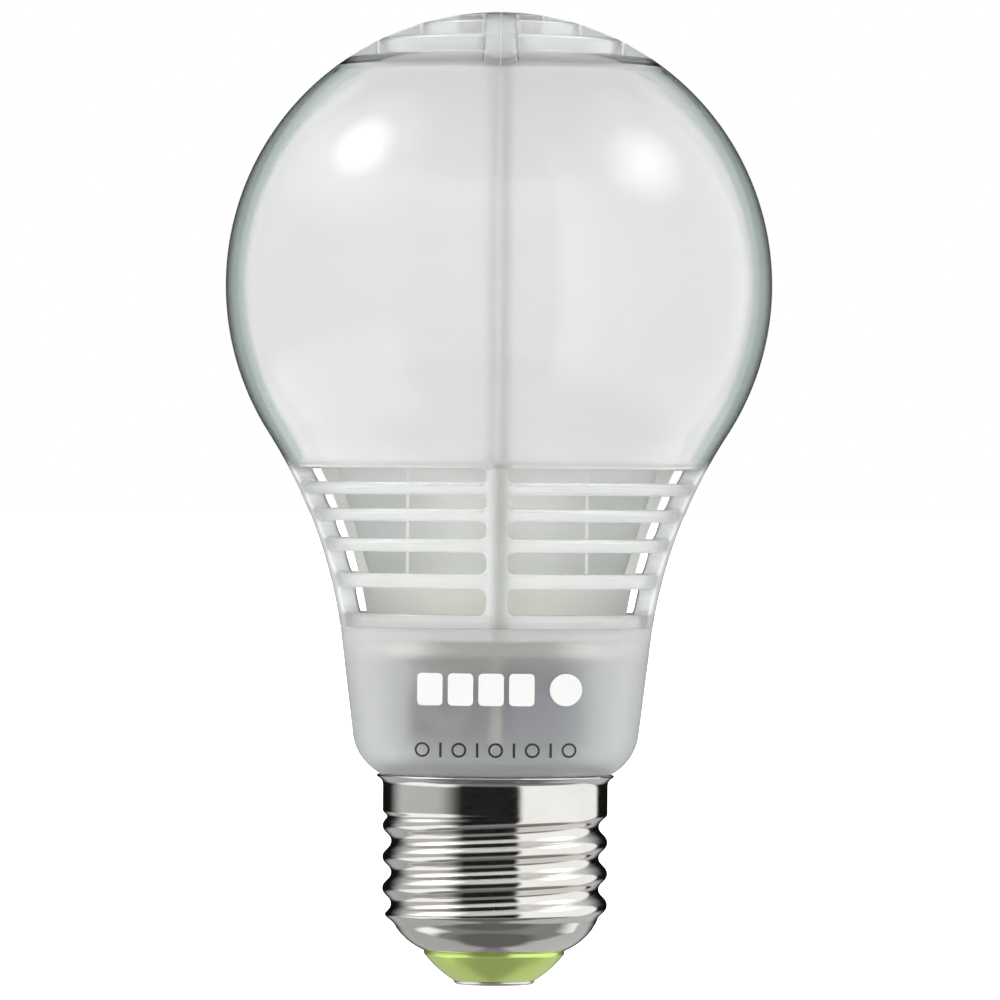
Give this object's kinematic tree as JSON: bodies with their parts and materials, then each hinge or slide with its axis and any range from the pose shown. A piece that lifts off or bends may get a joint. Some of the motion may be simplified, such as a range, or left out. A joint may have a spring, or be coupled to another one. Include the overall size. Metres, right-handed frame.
{
  "type": "smart light bulb",
  "caption": "Air-cooled smart LED bulb: clear globe over frosted light lobes, slotted neck, frosted driver housing, right-hand screw cap and green insulator.",
  "frame": {"origin": "middle of the centre contact's bottom face, where the bulb meets the bottom of its lampholder", "axes": "+Z along the bulb's axis from the cap to the top of the globe, -Y towards the front, where the print is, +X to the right seen from the front"},
  "size_m": [0.0634, 0.0634, 0.1127],
  "materials": {
    "clear_shell": "clear, polished",
    "frosted_lobe": "frosted white",
    "frosted_neck": "frosted translucent grey",
    "carrier": "beige, satin",
    "light_board": "grey solder mask on metal, satin",
    "led": "yellow phosphor in a white frame",
    "connector": "dark moulded plug strip",
    "circuit_board": "dark green board",
    "ferrite": "dark grey ferrite",
    "winding": "enamelled wire under tape",
    "capacitor_sleeve": "dark blue sleeve",
    "film_capacitor": "dark red dipped",
    "choke": "dark wound drum",
    "chip": "black moulded package",
    "radio_board": "green radio board",
    "shield": "tinned steel can",
    "antenna": "gold-plated track",
    "fuse": "glazed fuse resistor",
    "live_wire": "black insulated wire",
    "neutral_wire": "white insulated wire",
    "screw_cap": "bright nickel plate",
    "insulator": "lime green, glossy",
    "contact": "tinned contact"
  },
  "bodies": {
    "root": {"shell_left": "clear_shell", "shell_right": "clear_shell", "lobe_front_left": "frosted_lobe", "lobe_front_right": "frosted_lobe", "lobe_back_left": "frosted_lobe", "lobe_back_right": "frosted_lobe", "spine_front": "frosted_lobe", "spine_back": "frosted_lobe", "spine_left": "frosted_lobe", "spine_right": "frosted_lobe", "board_carrier": "carrier", "light_board_wide": "light_board", "light_board_deep": "light_board", "leds_wide": "led", "leds_deep": "led", "board_link": "connector", "neck_housing": "frosted_neck", "driver_board": "circuit_board", "transformer_core": "ferrite", "transformer_coil": "winding", "bulk_capacitor": "capacitor_sleeve", "film_capacitor": "film_capacitor", "choke": "choke", "bridge_rectifier": "chip", "control_chip": "chip", "power_switch": "chip", "radio_board": "radio_board", "radio_shield": "shield", "antenna": "antenna", "fuse": "fuse", "live_wire": "live_wire", "neutral_wire": "neutral_wire", "screw_cap": "screw_cap", "insulator": "insulator", "centre_contact": "contact"}
  },
  "joints": []
}
